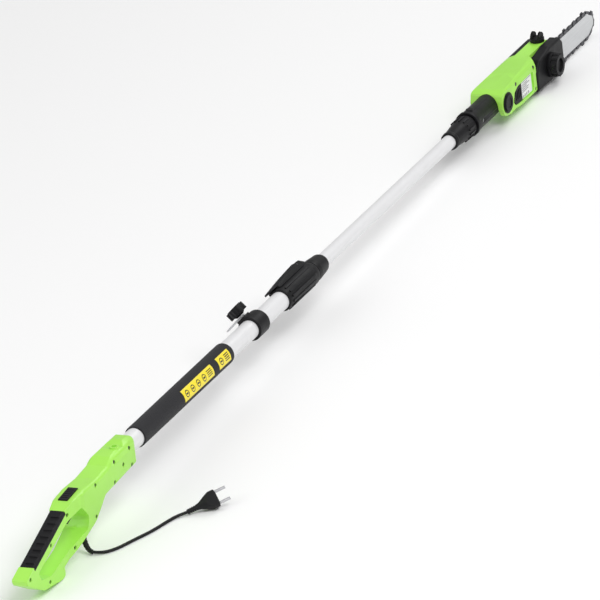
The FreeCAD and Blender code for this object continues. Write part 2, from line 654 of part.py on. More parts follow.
def head_shell(sides):
    half = box("260", "60", "120", (-40, 30 if sides == "left" else -30, -60))
    outer = common(head_block(), half)
    gap = size.yoke_half_gap
    yoke = [cylinder("yoke_half_gap", "30", (-30, 0, 0)),
            box("30", f"{2 * gap}", "joint_radius + 0.4", (-30, 0, -size.joint_radius - 0.4)),
            cylinder("joint_radius + 0.4", f"{2 * gap}", (0, -gap, 0), "y"),
            box("46", f"{2 * gap}", "60", (-30, 0, -60))]
    motor_bay = cylinder("stator_radius", "95", (26, 0, 0))
    bolt = cylinder(f"pivot_bolt_radius + {RUNNING_FIT}", "80", (0, -40, 0), "y")
    button_bore = cylinder("pivot_cap_radius - 1", "12", (0, -size.ear_half_width - 6, 0), "y")
    splines = cylinder("10.2", "20", (0, -size.ear_half_width - 1, 0), "y")
    ring_seat = cylinder("pivot_cap_radius + 1", "6", (0, -size.ear_half_width - 5, 0), "y")
    cap_seat = cylinder("pivot_cap_radius", "6", (0, size.ear_half_width - 1, 0), "y")
    windows = [cutter(side) for side in (-1, 1) for cutter in (side_window, air_way)]
    screws = [cylinder("screw_head_radius + 0.4", "10", (x, -size.head_half_width - 6, z), "y")
              for x, z in HEAD_SCREWS]
    neck = cylinder("oil_neck_radius + 0.3", "20", (OIL_CAP_X, 0, 20), "z")
    pivot = [bolt, button_bore, splines, ring_seat, cap_seat]
    return cut(outer, *yoke, *pivot, motor_bay, *windows, *screws, neck)


HEAD_SCREWS = [(38, 18.5), (114, 19), (114, -19)]
WINDOW = [(24, -10, 3), (30, -17, 4), (102, -21, 4), (108, -15, 3), (108, 15, 4), (44, 13, 5), (30, 6, 6)]


def side_window(side):
    """Recess in the head's side that takes the vent grille and the rating plate."""
    deep = 10.0
    return moved(slab("XZ_Plane", [WINDOW], f"{deep}"), (0, side * (WINDOW_FLOOR + deep / 2), 0))


def air_way(side):
    """Passage from the vent grille into the motor bay."""
    return box("22", "16", "18", (33, side * (WINDOW_FLOOR - 8), -11))


def vent_grille(side):
    """Louvred insert on the floor of the recess."""
    plate = slab("XZ_Plane", [[(25.2, -9.6, 2), (31, -16, 3), (58, -18, 1), (58, 12.7, 1), (44, 12.2, 4),
                               (31, 5.4, 5)]], "2.2")
    slots = [box("3.4", "4", "16", (31.5 + 6 * number, 0, -10 + number * 0.4)) for number in range(4)]
    return moved(cut(plate, *slots), (0, side * (WINDOW_FLOOR + 1.1), 0))


def rating_plate():
    plate = slab("XZ_Plane", [[(60, -17.5, 1), (103, -18.6, 1), (103, 13.6, 1), (60, 12.2, 1)]], "0.8")
    return moved(plate, (0, -WINDOW_FLOOR - 0.4, 0))


def head_screws():
    pieces = []
    for x, z in HEAD_SCREWS:
        at = (x, -size.head_half_width + 1.6, z)
        head = cylinder("screw_head_radius", "screw_head_length", at, "y")
        pieces.append(cut(head, box("1.2", "2", "4.4", (x - 0.6, at[1] + 0.2, z - 2.2))))
    return fuse(*pieces)


# ---------------------------------------------------------------- drive
MOTOR_X = 42.0
MOTOR_BEARINGS_X = (29.0, 109.0)


def motor_stator():
    ring = cylinder("stator_radius", "core_length", (MOTOR_X, 0, 0))
    bore = cylinder("stator_bore", "core_length + 2", (MOTOR_X - 1, 0, 0))
    slots = ring_of(lambda: box("core_length + 2", "9", "5", (MOTOR_X - 1, 0, size.stator_bore - 2)), 2, 0)
    return cut(ring, bore, *slots)


def motor_armature():
    shaft = cylinder("motor_shaft_radius", "91", (28, 0, 0))
    core = cylinder("armature_radius", "core_length", (MOTOR_X, 0, 0))
    depth = size.armature_radius - 3
    slots = ring_of(lambda: box("core_length + 2", "1.6", "4", (MOTOR_X - 1, 0, depth)), 12)
    commutator = cylinder("9", "6", (MOTOR_X - 7, 0, 0))
    return fuse(shaft, cut(core, *slots), commutator)


def cooling_fan():
    core_end = MOTOR_X + size.core_length
    disc = cylinder("fan_radius - 1", "1.6", (core_end + 3, 0, 0))
    blades = ring_of(lambda: box("7", "1.4", "12", (core_end + 4, 0, 10)), 9)
    hub = cylinder("8", "9", (core_end + 2, 0, 0))
    return cut(fuse(disc, hub, *blades), cylinder("motor_shaft_radius", "30", (core_end, 0, 0)))


def motor_bearings():
    rings = []
    for x in MOTOR_BEARINGS_X:
        way = cylinder(f"motor_shaft_radius + {RUNNING_FIT}", "9", (x - 2, 0, 0))
        rings.append(cut(cylinder("11", "5", (x, 0, 0)), way))
    return fuse(*rings)


def bearing_carriers():
    """Spiders that hold the motor bearings in the head shell."""
    discs = []
    for x in MOTOR_BEARINGS_X:
        discs.append(cut(cylinder("stator_radius", "5", (x, 0, 0)), cylinder("11", "9", (x - 2, 0, 0))))
    return fuse(*discs)


def bevel_pinion():
    """Small bevel gear on the motor shaft, its tooth gaps cut as slots."""
    blank = cone("9", "6", "7", (120, 0, 0))
    hub = cylinder("6", "5", (116, 0, 0))
    gaps = ring_of(lambda: box("12", "1.8", "4", (118, 0, 6.6)), 8)
    return cut(fuse(hub, blank), *gaps, cylinder("motor_shaft_radius", "3", (116, 0, 0)))


def bevel_gear():
    """Crown wheel on the sprocket shaft, left of the pinion, with its teeth cut as radial gaps."""
    blank = cone("13.2", "17", "5", (SPROCKET_X, 9.6, 0), "y")
    hub = cylinder("9", "7", (SPROCKET_X, 9.6, 0), "y")
    teeth = []
    for number in range(16):
        gap = box("7", "3.6", "1.8", (12, 0, -0.9))
        moved(gap, (SPROCKET_X, 9.6, 0), Rotation(Vector(0, 1, 0), 22.5 * number))
        teeth.append(gap)
    bore = cylinder("sprocket_shaft_radius", "20", (SPROCKET_X, 0, 0), "y")
    return cut(fuse(blank, hub), *teeth, bore)


def sprocket_shaft():
    return cylinder("sprocket_shaft_radius", "48", (SPROCKET_X, BAR_PLANE_Y - 4.5, 0), "y")


def sprocket_bearings():
    rings = []
    for y in (CASE_RIGHT, 17.5):
        ring = cylinder("11", "6", (SPROCKET_X, y, 0), "y")
        way = cylinder(f"sprocket_shaft_radius + {RUNNING_FIT}", "12", (SPROCKET_X, y - 2, 0), "y")
        rings.append(cut(ring, way))
    return fuse(*rings)


def drive_sprocket():
    """Toothed wheel under the cover; it turns just inside the chain's drive links."""
    reach, width = size.sprocket_radius, 5.0
    disc = cylinder(f"{reach - 1.8}", f"{width}", (SPROCKET_X, BAR_PLANE_Y - width / 2, 0), "y")
    cogs = []
    for number in range(6):
        cog = box("3", "chain_gauge", "2.6", (reach - 3, 0, -1.3))
        moved(cog, (SPROCKET_X, BAR_PLANE_Y, 0), Rotation(Vector(0, 1, 0), 60.0 * number))
        cogs.append(cog)
    bore = cylinder("sprocket_shaft_radius", "20", (SPROCKET_X, BAR_PLANE_Y - 10, 0), "y")
    return cut(fuse(disc, *cogs), bore)


CASE_SIDE = [(120, -28.5, 3), (159, GEAR_CASE_BOTTOM, 20), (230, GEAR_CASE_BOTTOM, 8), (239, -20, 6),
             (239, 14, 8), (231, 23, 5), (132, 23, 2), (120, 5, 2)]


def guide_pad():
    """Cast pad that holds the bar off the case at the chain's plane."""
    face = BAR_PLANE_Y + size.bar_thickness / 2
    depth = CASE_RIGHT + 1 - face
    return box("50", f"{depth}", "16", (BAR_REAR, face + depth / 2, BAR_Z - 8))


def gear_case():
    """Cast housing for the bevel gears, with the oil tank in its front half."""
    left = size.head_half_width - 0.2
    block = slab("XZ_Plane", [CASE_SIDE], f"{left - CASE_RIGHT}")
    moved(block, (0, (left + CASE_RIGHT) / 2, 0))
    block = rounded(block, 4.0, lambda edge: edge.BoundBox.YMin > left - 0.1 and edge.Length > 12)
    gear_room = cylinder("19", "25", (SPROCKET_X, CASE_RIGHT + 6, 0), "y")
    nose_room = cylinder("12", "24", (119, 0, 0))
    bearing_way = cylinder("11", "40", (SPROCKET_X, CASE_RIGHT - 2, 0), "y")
    tank = box("50", "38", "38", (183, 6, -24))
    filler = cylinder("oil_neck_radius - 2", "30", (OIL_CAP_X, 0, 6), "z")
    neck = cylinder("oil_neck_radius", "9.6", (OIL_CAP_X, 0, 21), "z")
    stud = cylinder("stud_radius", "30", (STUD_X, CASE_RIGHT - 22, BAR_Z), "y")
    return cut(fuse(block, neck, guide_pad()), gear_room, nose_room, bearing_way, tank, filler, stud)


CAP_WING = [(-9, 4, 0), (-9, 12, 3), (-3, 17, 3), (3, 17, 3), (9, 12, 3), (9, 4, 0)]


def oil_cap():
    """Screw cap with two finger wings."""
    skirt = cylinder("oil_cap_radius", "oil_cap_height - 5", (0, 0, 0), "z")
    skirt = rounded(skirt, 1.2, lambda edge: edge.BoundBox.ZMin > 5 and edge.BoundBox.ZLength < 0.1)
    wings = []
    for y in (-6.5, 6.5):
        wings.append(moved(slab("XZ_Plane", [CAP_WING], "4"), (0, y, 0)))
    grips = [box("3", "3", "6", (-13.2, 0, 0.5)), box("3", "3", "6", (10.2, 0, 0.5))]
    recess = cylinder(f"oil_neck_radius + {RUNNING_FIT}", "1", (0, 0, -0.4), "z")
    plug = cylinder(f"oil_neck_radius - 2 - {RUNNING_FIT}", "10", (0, 0, -8.5), "z")
    return moved(fuse(cut(fuse(skirt, *wings, *grips), recess), plug), (OIL_CAP_X, 0, HEAD_TOP + 0.4))


COVER_SIDE = [(120, -28.5, 4), (221, -30, 12), (237, -22, 6), (237, 20, 6), (227, 30.5, 8), (183, 30.5, 20),
              (138, 23, 8), (120, 4, 6)]
COVER_ROOM = [(121.5, -40, 0), (249, -40, 0), (249, 28.2, 0), (184, 28.2, 12), (138.5, 20.6, 5),
              (122, 4.6, 4)]


def sprocket_cover():
    """Cover over sprocket and bar tail, open below and in front for the chain."""
    inner = CASE_RIGHT - 0.4
    plate = moved(slab("XZ_Plane", [COVER_SIDE], f"{inner - COVER_RIGHT}", sides="right"), (0, inner, 0))
    plate = rounded(plate, 4.0, lambda edge: edge.BoundBox.YMax < COVER_RIGHT + 0.1)
    depth = inner - COVER_RIGHT - size.cover_wall
    room = moved(slab("XZ_Plane", [COVER_ROOM], f"{depth + 5}", sides="right"), (0, inner + 5, 0))
    bar_side = BAR_PLANE_Y - size.bar_thickness / 2 - 0.1
    clamp_pad = cylinder("9", f"{bar_side - COVER_RIGHT - 1}", (STUD_X, COVER_RIGHT + 1, BAR_Z), "y")
    screw_way = cylinder("stud_radius + 0.5", "40", (STUD_X, COVER_RIGHT - 20, BAR_Z), "y")
    return cut(fuse(cut(plate, room), clamp_pad), screw_way)


def bar_stud():
    return cylinder("stud_radius", "34", (STUD_X, COVER_RIGHT - 8, BAR_Z), "y")


def cover_knob():
    """Large ribbed clamping knob on the bar stud."""
    base = COVER_RIGHT - 0.4
    skirt = cylinder("cover_knob_radius", "6", (0, 0, 0), "x")
    grip = cylinder("cover_knob_radius - 3.5", "cover_knob_height", (0, 0, 0), "x")
    rib_circle = size.cover_knob_radius - 4.2
    ribs = ring_of(lambda: cylinder("3.4", "cover_knob_height - 2", (0, 0, rib_circle), "x"), 10)
    dish = cylinder("12", "5", (size.cover_knob_height - 4, 0, 0), "x")
    bore = cylinder(f"stud_radius + {RUNNING_FIT}", "9", (-1, 0, 0), "x")
    knob = cut(fuse(skirt, grip, *ribs), dish, bore)
    return moved(knob, (STUD_X, base, BAR_Z), Rotation(Vector(0, 0, 1), -90))


# ---------------------------------------------------------------- bar and chain
def bar_outline(inset):
    """Guide bar from its tail to its round nose, drawn smaller by an inset."""
    half = size.bar_half_height - inset
    rear, nose = BAR_REAR + inset, BAR_NOSE - inset
    tip = 10 - inset / 4
    return [(rear, BAR_Z + half - 6, 3), (rear + 26, BAR_Z + half, 40), (nose - 24, BAR_Z + half, 26),
            (nose, BAR_Z + 7, tip), (nose, BAR_Z - 7, tip), (nose - 24, BAR_Z - half, 26),
            (rear + 26, BAR_Z - half, 40), (rear, BAR_Z - half + 6, 3)]


def bar_slot():
    return [(167, BAR_Z + 4, 3.9), (217, BAR_Z + 4, 3.9), (217, BAR_Z - 4, 3.9), (167, BAR_Z - 4, 3.9)]


def guide_bar():
    """Bar with a groove for the drive links round its edge."""
    blank = slab("XZ_Plane", [bar_outline(0.0), bar_slot()], "bar_thickness")
    width = size.chain_gauge + 0.3
    ring = slab("XZ_Plane", [bar_outline(-2.0)], f"{width}")
    core = slab("XZ_Plane", [bar_outline(size.bar_slot_depth)], f"{width + 1}")
    return moved(cut(blank, cut(ring, core)), (0, BAR_PLANE_Y, 0))


def chain_path():
    """Closed line that the chain's rivets follow round sprocket and bar, a little outside the bar's edge."""
    turn = size.wheel_turn_radius
    back = SPROCKET_X - turn
    corners = [(back, -turn, 0.95 * turn), (back, turn, 0.95 * turn)] + bar_outline(0.0)[1:7]
    points = [Vector(x, 0, z) for x, z, _ in corners]
    following = points[1:] + points[:1]
    joints = [corner_arc(points[place - 1], points[place], following[place], corners[place][2])
              for place in range(len(points))]
    edges = []
    for place, joint in enumerate(joints):
        edges.append(Part.Arc(*joint).toShape())
        edges.append(Part.LineSegment(joint[2], joints[(place + 1) % len(joints)][0]).toShape())
    return Part.Wire(edges).makeOffset2D(size.chain_rise)


def saw_chain():
    """Links set along the path by a loop, so the chain is made with Part's own functions."""
    path = chain_path()
    count = int(path.Length / size.link_pitch / 2) * 2
    stations = path.discretize(Number=count + 1)[:-1]
    gauge, plate, height = size.chain_gauge, size.link_plate, size.link_height
    solids = []
    for place, start in enumerate(stations):
        end = stations[(place + 1) % count]
        along = (end - start).normalize()
        frame = Placement(start.add(end).multiply(0.5), Rotation(along, Vector(0, 1, 0), Vector(), "XYZ"))
        pitch = start.distanceToPoint(end)
        middle = place % 2 == 0
        links = []
        if middle:
            links.append(link_plate(pitch + 3.6, gauge, height, 0.0))
            links.append(drive_tang(pitch, gauge))
        else:
            links += [link_plate(pitch + 3.6, plate, height, side * (gauge + plate) / 2) for side in (-1, 1)]
            if place % 4 == 1:
                links.append(cutter(pitch, 1 if place % 8 == 1 else -1))
        for link in links:
            link.Placement = Placement(Vector(0, BAR_PLANE_Y, 0), Rotation()).multiply(frame)
            solids.append(link)
    chain = doc.addObject("Part::Feature", "chain")
    merged = solids[0].multiFuse(solids[1:])
    chain.Shape = merged
    return chain


def link_plate(length, thickness, height, y):
    """Oblong link in its own frame: X along the chain, Z outwards from the bar."""
    half, end = height / 2, length / 2 - height / 2
    top = Part.LineSegment(Vector(-end, 0, half), Vector(end, 0, half))
    front = Part.Arc(Vector(end, 0, half), Vector(end + half, 0, 0), Vector(end, 0, -half))
    base = Part.LineSegment(Vector(end, 0, -half), Vector(-end, 0, -half))
    back = Part.Arc(Vector(-end, 0, -half), Vector(-end - half, 0, 0), Vector(-end, 0, half))
    face = Part.Face(Part.Wire([edge.toShape() for edge in (top, front, base, back)]))
    face.translate(Vector(0, y - thickness / 2, 0))
    return face.extrude(Vector(0, thickness, 0))


def drive_tang(pitch, gauge):
    """Tooth of a drive link that runs in the bar's groove."""
    corners = [(-pitch * 0.3, -1), (pitch * 0.3, -1), (pitch * 0.12, -3.8), (-pitch * 0.12, -3.8)]
    return prism(corners, gauge, 0.0)


def cutter(pitch, side):
    """Raker and top plate of a cutting link."""
    height = size.link_height / 2 + size.cutter_height
    heel, tip = -pitch * 0.62, pitch * 0.15
    corners = [(heel, 1.5), (heel, height - 0.8), (tip, height), (pitch * 0.28, 1.5)]
    return prism(corners, 2.2, side * 0.9)


def prism(corners, thickness, y):
    points = [Vector(x, y - thickness / 2, z) for x, z in corners]
    return Part.Face(Part.makePolygon(points + points[:1])).extrude(Vector(0, thickness, 0))


# ---------------------------------------------------------------- supply cord, on the floor
# The cord's places are (forward, left, above the floor), forward measured from the handle's front end.
RELIEF_TOP, RELIEF_FOOT = Vector(-178, 0, 30), Vector(-193, -12, 8)
CORD_EXIT = Vector(-193.5, -23, 5.2)
CORD_ROUTE = [CORD_EXIT, Vector(-191, -37, 3.0), Vector(-170, -55, 2.7), Vector(-138, -67.5, 2.7),
              Vector(-105, -83, 2.7), Vector(-66, -94, 2.8), Vector(-48, -101, 3.6), Vector(-36, -114, 5.4)]


def ball(radius, at):
    sphere = doc.addObject("Part::Sphere", "ball")
    sphere.Radius = radius
    sphere.Placement = Placement(at, Rotation())
    return sphere


def taper(radius_from, radius_to, start, end):
    """A cone between two places."""
    run = end - start
    solid = cone(f"{radius_from}", f"{radius_to}", f"{run.Length}", (0, 0, 0), "z")
    solid.Placement = Placement(start, Rotation(Vector(0, 0, 1), run))
    return solid


def strain_relief():
    """Rubber sleeve that hangs from the handle's underside and turns the cord along the floor."""
    stem = cylinder("4.6", "14", tuple(RELIEF_TOP), "z")
    collar = cylinder("6.2", "4.4", tuple(RELIEF_TOP), "z")
    sleeve = taper(5.6, 4.6, RELIEF_TOP, RELIEF_FOOT)
    end = taper(4.5, 3.6, RELIEF_FOOT, CORD_EXIT)
    return fuse(stem, collar, ball(6.2, RELIEF_TOP), sleeve, ball(5.0, RELIEF_FOOT), end)


def supply_cord():
    """Plain tube of straight runs joined by tangent arcs along the cord's route."""
    edges, start = [], CORD_ROUTE[0]
    for before, corner, after in zip(CORD_ROUTE, CORD_ROUTE[1:], CORD_ROUTE[2:]):
        shorter = min(corner.distanceToPoint(before), corner.distanceToPoint(after))
        half_turn = (corner - before).getAngle(after - corner) / 2
        radius = 0.45 * shorter / math.tan(half_turn)
        arc = corner_arc(before, corner, after, radius)
        edges.append(Part.LineSegment(start, arc[0]).toShape())
        edges.append(Part.Arc(*arc).toShape())
        start = arc[2]
        print(f"cord bend radius {radius:.1f} mm, turn {math.degrees(2 * half_turn):.1f} degrees")
    edges.append(Part.LineSegment(start, CORD_ROUTE[-1]).toShape())
    path = Part.Wire(edges)
    end = Part.Wire([Part.makeCircle(size.cord_radius, CORD_ROUTE[0], CORD_ROUTE[1] - CORD_ROUTE[0])])
    cord = doc.addObject("Part::Feature", "cord")
    cord.Shape = path.makePipeShell([end], True, True)
    ideal = math.pi * size.cord_radius ** 2 * path.Length
    print(f"cord length {path.Length:.1f} mm, volume {cord.Shape.Volume:.0f} against {ideal:.0f} mm3")
    return cord


def plug_frame():
    """The plug's own +X leaves the cord's end; the flared body is rolled over on its rim."""
    onward = CORD_ROUTE[-1] - CORD_ROUTE[-2]
    heading = Vector(onward.x, onward.y, onward.Length * math.tan(math.radians(13)))
    aim = Rotation(Vector(1, 0, 0), heading)
    return Placement(CORD_ROUTE[-1], aim).multiply(Placement(Vector(), Rotation(Vector(1, 0, 0), -34)))


def plug_body():
    rim = size.plug_radius
    neck = [(0, 0, 0), (0, 3.6, 0), (3, 4.3, 0), (18, 4.8, 2), (22, 5.8, 2), (34, 11.6, 8), (42, rim, 3),
            (52, rim, 2), (52, 0, 0)]
    grooves = []
    for number in range(4):
        x = 4 + 3.4 * number
        grooves.append(cut(cylinder("8", "1.4", (x, 0, 0)), cylinder("3.6", "1.6", (x - 0.1, 0, 0))))
    flat_sides = box("60", "plug_thickness", "2 * plug_radius + 2", (-1, 0, -rim - 1))
    slab_cut = common(turned(neck), flat_sides)
    notches = [cylinder("3", "20", (38, 0, z), "x") for z in (-rim, rim)]
    return cut(slab_cut, *grooves, *notches)


def plug_pins():
    pins = []
    for z in (-size.plug_pin_spacing / 2, size.plug_pin_spacing / 2):
        pins.append(cylinder("plug_pin_radius", "pin_length", (52, 0, z)))
    return fuse(*pins)


# ---------------------------------------------------------------- the assembly
def build_handle():
    node("handle_shell_right", handle_shell("right"))
    node("handle_shell_left", handle_shell("left"))
    node("handle_screws", handle_screws())
    node("grip_overmould", grip_overmould())
    node("trigger", trigger())
    node("trigger_pin", cylinder("pin_radius", "22", (TRIGGER_PIN[0], -11, TRIGGER_PIN[1]), "y"))
    node("lock_off_button", lock_off_button())
    node("switch_module", switch_module())
    node("cord_clamp", cord_clamp())


def build_pole():
    node("outer_tube", tube("outer_tube_radius", OUTER_TUBE_REAR, OUTER_TUBE_FRONT))
    node("foam_sleeve", foam_sleeve())
    node("sleeve_label_long", wrap_label(FOAM_REAR + 150, 112, LABEL_FACING, LABEL_SPREAD))
    node("sleeve_label_short", wrap_label(FOAM_REAR + 282, 44, LABEL_FACING, LABEL_SPREAD))
    node("strap_collar", strap_collar(), COLLAR)
    node("strap_knob", strap_knob(), COLLAR)
    node("strap_bolt", strap_bolt(), COLLAR)
    node("strap_ring", strap_ring(), COLLAR)
    node("lock_sleeve", lock_sleeve(), LOCK)
    node("clamp_lever", clamp_lever(), LOCK)
    node("lever_pin", lever_pin(), LOCK)
    node("brake_shoe", brake_shoe(), LOCK)
    node("lock_front_cap", moved(lock_front_cap(), (CAP_REAR, 0, 0)))
    node("inner_tube", tube("inner_tube_radius", INNER_TUBE_REAR, INNER_TUBE_FRONT))
    node("tube_bush", moved(tube_bush(), (INNER_TUBE_REAR, 0, 0)))
    node("straight_lead", straight_lead())
    node("coiled_lead", coiled_lead())
    node("coupling_nut", moved(coupling_nut(), (NUT_REAR, 0, 0)))
    node("joint_body", joint_body())
    node("joint_screw", joint_screw())


def build_head():
    node("pivot_bolt", pivot_bolt(), HEAD)
    node("pivot_button", pivot_button(), HEAD)
    node("pivot_ring", pivot_ring(), HEAD)
    node("pivot_cap", pivot_cap(), HEAD)
    node("head_shell_right", head_shell("right"), HEAD)
    node("head_shell_left", head_shell("left"), HEAD)
    node("head_screws", head_screws(), HEAD)
    node("vent_grille_right", vent_grille(-1), HEAD)
    node("vent_grille_left", vent_grille(1), HEAD)
    node("rating_plate", rating_plate(), HEAD)
    node("motor_stator", motor_stator(), HEAD)
    node("motor_armature", motor_armature(), HEAD)
    node("cooling_fan", cooling_fan(), HEAD)
    node("motor_bearings", motor_bearings(), HEAD)
    node("bearing_carriers", bearing_carriers(), HEAD)
    node("bevel_pinion", bevel_pinion(), HEAD)
    node("bevel_gear", bevel_gear(), HEAD)
    node("sprocket_shaft", sprocket_shaft(), HEAD)
    node("sprocket_bearings", sprocket_bearings(), HEAD)
    node("drive_sprocket", drive_sprocket(), HEAD)
    node("gear_case", gear_case(), HEAD)
    node("oil_cap", oil_cap(), HEAD)
    node("sprocket_cover", sprocket_cover(), HEAD)
    node("bar_stud", bar_stud(), HEAD)
    node("cover_knob", cover_knob(), HEAD)
    node("guide_bar", guide_bar(), HEAD)
    node("saw_chain", saw_chain(), HEAD)


def low_point(names, lie):
    lowest = []
    for solid, frame in NODES:
        if solid.Label in names:
            shape = solid.Shape.copy()
            shape.Placement = lie.multiply(frame).multiply(solid.Placement)
            lowest.append(shape.optimalBoundingBox(False).ZMin)
    return min(lowest)


HANDLE_BASE = ["handle_shell_right", "handle_shell_left"]
HEAD_BASE = ["gear_case", "head_shell_right"]


def lying():
    """Tips the pole until the handle loop and the gear case reach the same level."""
    contact_span = PIVOT_X + 200 + 326
    slope = 0.0
    for _ in range(5):
        lie = Placement(Vector(), Rotation(Vector(0, 1, 0), math.degrees(slope)))
        slope += (low_point(HEAD_BASE, lie) - low_point(HANDLE_BASE, lie)) / contact_span
    return Placement(Vector(), Rotation(Vector(0, 1, 0), math.degrees(slope))), slope


def place_everything():
    """Lays the tool down and puts the origin under the middle of its box."""
    lie, slope = lying()
    bounds = FreeCAD.BoundBox()
    for solid, frame in NODES:
        solid.Placement = lie.multiply(frame).multiply(solid.Placement)
        bounds.add(solid.Shape.optimalBoundingBox(False))
    shift = Vector(-bounds.Center.x, -bounds.Center.y, -bounds.ZMin)
    for solid, _ in NODES:
        solid.Placement = Placement(shift, Rotation()).multiply(solid.Placement)
    print(f"lying slope {slope:.6f} rad, shift {shift.x:.4f} {shift.y:.4f} {shift.z:.4f}")
    return Placement(Vector(shift.x, shift.y, 0), Rotation())


def place_cord(floor):
    plug = plug_frame()
    floor_nodes = [("strain_relief", strain_relief(), Placement()),
                   ("supply_cord", supply_cord(), Placement()),
                   ("plug_body", plug_body(), plug), ("plug_pins", plug_pins(), plug)]
    doc.recompute()
    for name, solid, frame in floor_nodes:
        node(name, solid)
        solid.Placement = floor.multiply(frame).multiply(solid.Placement)


def check_and_write():
    doc.recompute()
    failed = [thing.Name for thing in doc.Objects if "Invalid" in thing.State or "Error" in thing.State]
    if failed:
        raise RuntimeError(f"failed objects: {failed}")
    os.makedirs("parts", exist_ok=True)
    for solid, _ in NODES:
        shape = solid.Shape
        if shape.isNull() or not shape.isValid() or not shape.Solids:
            raise RuntimeError(f"{solid.Label} has no valid solid")
        shape.exportStep(f"parts/{solid.Label}.step")
    print(len(NODES), "nodes written")


build_handle()
build_pole()
build_head()
doc.recompute()
place_cord(place_everything())
check_and_write()
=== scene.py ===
"""Looks of the telescoping pole saw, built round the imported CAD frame. Metres, in the row frame."""

import json
import math
import random

import bmesh
import bpy
from mathutils import Matrix, Vector


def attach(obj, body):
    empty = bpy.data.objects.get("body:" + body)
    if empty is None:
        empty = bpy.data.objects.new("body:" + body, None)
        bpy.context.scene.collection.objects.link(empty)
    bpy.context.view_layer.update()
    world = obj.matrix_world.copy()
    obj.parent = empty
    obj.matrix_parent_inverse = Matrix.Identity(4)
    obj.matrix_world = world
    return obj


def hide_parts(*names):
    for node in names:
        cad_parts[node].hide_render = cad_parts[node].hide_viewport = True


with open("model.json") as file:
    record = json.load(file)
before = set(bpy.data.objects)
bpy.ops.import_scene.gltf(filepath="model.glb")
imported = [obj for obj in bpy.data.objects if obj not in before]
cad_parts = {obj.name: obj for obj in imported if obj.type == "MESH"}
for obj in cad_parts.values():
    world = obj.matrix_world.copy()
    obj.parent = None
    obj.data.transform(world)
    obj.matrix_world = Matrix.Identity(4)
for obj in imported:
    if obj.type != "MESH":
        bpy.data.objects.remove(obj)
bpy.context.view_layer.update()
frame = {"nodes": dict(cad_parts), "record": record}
nodes = frame["nodes"]

# ---------------------------------------------------------------- the pole's own frame
# The tool lies tipped by this slope, nose down. The pole's axis starts where the tube leaves the handle.
SLOPE = 0.034431
POLE_START = Vector((-0.7372065, 0.0019202, 0.0920991))
TILT = Matrix.Rotation(SLOPE, 4, "Y")
POLE = Matrix.Translation(POLE_START) @ TILT
MM = 0.001


def pole_point(x, y, z):
    """A place in the pole's frame, given in millimetres."""
    return POLE @ (Vector((x, y, z)) * MM)


# ---------------------------------------------------------------- node materials
class Shader:
    """A small builder of node materials round one Principled shader."""

    def __init__(self, name, colour, roughness=0.5, metallic=0.0, coat=0.0, specular=0.5):
        self.material = bpy.data.materials.new(name)
        self.material.use_nodes = True
        self.tree = self.material.node_tree
        self.bsdf = self.tree.nodes["Principled BSDF"]
        self.bsdf.inputs["Base Color"].default_value = (*colour, 1)
        self.bsdf.inputs["Roughness"].default_value = roughness
        self.bsdf.inputs["Metallic"].default_value = metallic
        self.bsdf.inputs["Coat Weight"].default_value = coat
        self.bsdf.inputs["Specular IOR Level"].default_value = specular
        self.height = None

    def add(self, kind, **settings):
        made = self.tree.nodes.new(kind)
        for key, value in settings.items():
            if key in made.inputs:
                made.inputs[key].default_value = value
            else:
                setattr(made, key, value)
        return made

    def link(self, source, target):
        self.tree.links.new(source, target)

    def place(self, scale=(1, 1, 1), kind="Object"):
        coordinates = self.add("ShaderNodeTexCoord")
        mapping = self.add("ShaderNodeMapping")
        mapping.inputs["Scale"].default_value = scale
        self.link(coordinates.outputs[kind], mapping.inputs["Vector"])
        return mapping.outputs["Vector"]

    def noise(self, scale, detail, stretch=(1, 1, 1), roughness=0.5):
        made = self.add("ShaderNodeTexNoise", Scale=scale, Detail=detail, Roughness=roughness)
        self.link(self.place(stretch), made.inputs["Vector"])
        return made.outputs["Fac"]

    def ramp(self, source, low, high, from_value=0.0, to_value=1.0):
        made = self.add("ShaderNodeMapRange")
        limits = {"From Min": low, "From Max": high, "To Min": from_value, "To Max": to_value}
        for key, value in limits.items():
            made.inputs[key].default_value = value
        self.link(source, made.inputs["Value"])
        return made.outputs["Result"]

    def mix(self, factor, first, second):
        made = self.add("ShaderNodeMix", data_type="RGBA")
        self.link(factor, made.inputs[0])
        for socket, value in ((made.inputs[6], first), (made.inputs[7], second)):
            if isinstance(value, tuple):
                socket.default_value = (*value, 1)
            else:
                self.link(value, socket)
        return made.outputs[2]

    def paint(self, source):
        self.link(source, self.bsdf.inputs["Base Color"])
        return self

    def gloss(self, source, low, high):
        self.link(self.ramp(source, 0.3, 0.7, low, high), self.bsdf.inputs["Roughness"])
        return self

    def bump(self, source, strength, distance):
        made = self.add("ShaderNodeBump", Strength=strength, Distance=distance)
        self.link(source, made.inputs["Height"])
        if self.height:
            self.link(self.height, made.inputs["Normal"])
        self.height = made.outputs["Normal"]
        self.link(self.height, self.bsdf.inputs["Normal"])
        return self

    def edge_wear(self, base, worn, amount):
        """Lightens edges and crests, broken up by noise."""
        pointy = self.add("ShaderNodeNewGeometry").outputs["Pointiness"]
        crest = self.ramp(pointy, 0.52, 0.62, 0.0, amount)
        broken = self.add("ShaderNodeMath", operation="MULTIPLY")
        self.link(crest, broken.inputs[0])
        self.link(self.ramp(self.noise(900, 2), 0.4, 0.6, 0.2, 1.0), broken.inputs[1])
        return self.mix(broken.outputs[0], base, worn)


def tone(colour, share):
    """The colour made darker or lighter."""
    return tuple(min(1.0, channel * share) for channel in colour)


